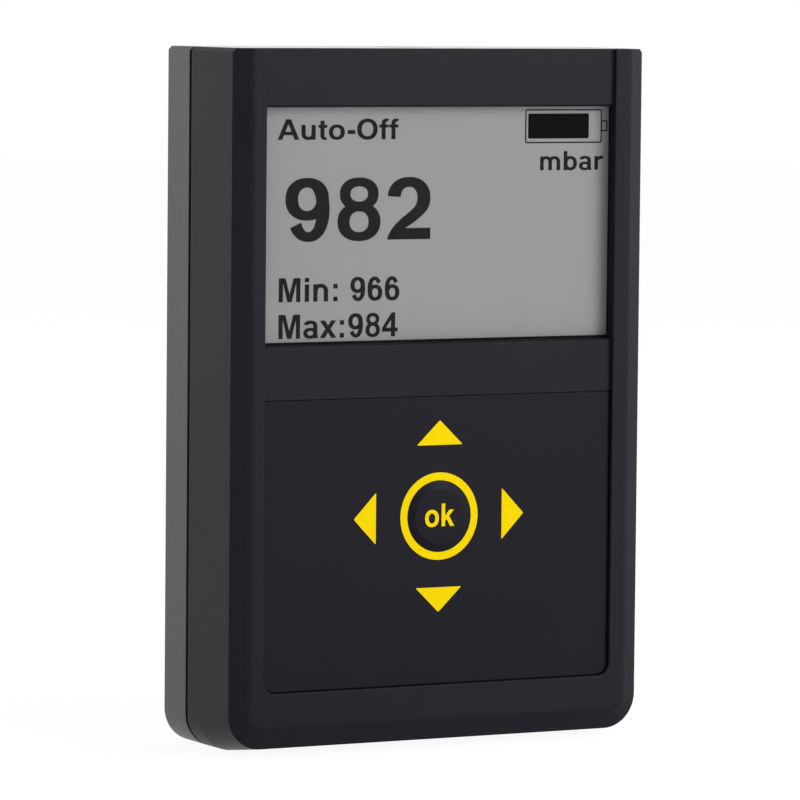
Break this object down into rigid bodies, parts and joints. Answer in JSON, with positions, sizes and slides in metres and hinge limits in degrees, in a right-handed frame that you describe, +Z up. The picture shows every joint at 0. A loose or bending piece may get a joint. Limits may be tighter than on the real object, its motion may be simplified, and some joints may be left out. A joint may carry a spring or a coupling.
{
  "type": "portable vacuum gauge",
  "caption": "Hand-held vacuum gauge with a grey display, a membrane keypad, a threaded vacuum port in its top end and a sliding battery door.",
  "frame": {"origin": "middle of the base, at the middle of the case's width and depth", "axes": "+Z up along the case, towards the vacuum port; +X to the right seen from the display; +Y from the display to the back"},
  "size_m": [0.0794, 0.0268, 0.1194],
  "materials": {
    "case_plastic": "fine spark-eroded texture",
    "plate_metal": "satin, clear anodised",
    "keypad_film": "fine matt printed film",
    "clear_pane": "clear",
    "display_glass": "matt grey display with dark segments",
    "black_foam": "matt",
    "inner_plastic": "moulded",
    "contact_rubber": "banded",
    "circuit_board": "solder mask",
    "chip_plastic": "moulded",
    "socket_plastic": "moulded",
    "flex_film": "amber film",
    "stainless": "turned and milled",
    "screw_steel": "nickel plated",
    "spring_steel": "nickel plated",
    "seal_rubber": "moulded",
    "cell_jacket": "plain jacket"
  },
  "bodies": {
    "case": {"front_shell": "case_plastic", "rear_shell": "case_plastic", "end_plate": "plate_metal", "keypad_foil": "keypad_film", "display_window": "clear_pane", "display_gasket": "black_foam", "lcd_panel": "display_glass", "display_holder": "inner_plastic", "zebra_strip": "contact_rubber", "main_board": "circuit_board", "microcontroller": "chip_plastic", "keypad_connector": "socket_plastic", "sensor_connector": "socket_plastic", "sensor_flex": "flex_film", "sensor_port": "stainless", "sensor_cell": "stainless", "sensor_seal": "seal_rubber", "sensor_clip": "spring_steel", "port_screws": "screw_steel", "board_screws": "screw_steel", "case_screws": "screw_steel", "battery_cell_left": "cell_jacket", "battery_cell_right": "cell_jacket", "contact_bridge": "spring_steel", "contact_plus": "spring_steel", "contact_minus": "spring_steel"},
    "battery_door": {"battery_door": "case_plastic"}
  },
  "joints": [
    {"name": "battery_door_slide", "type": "slide", "parent": "case", "child": "battery_door", "axis": [0, 0, -1], "range_m": [0, 0.066]}
  ]
}
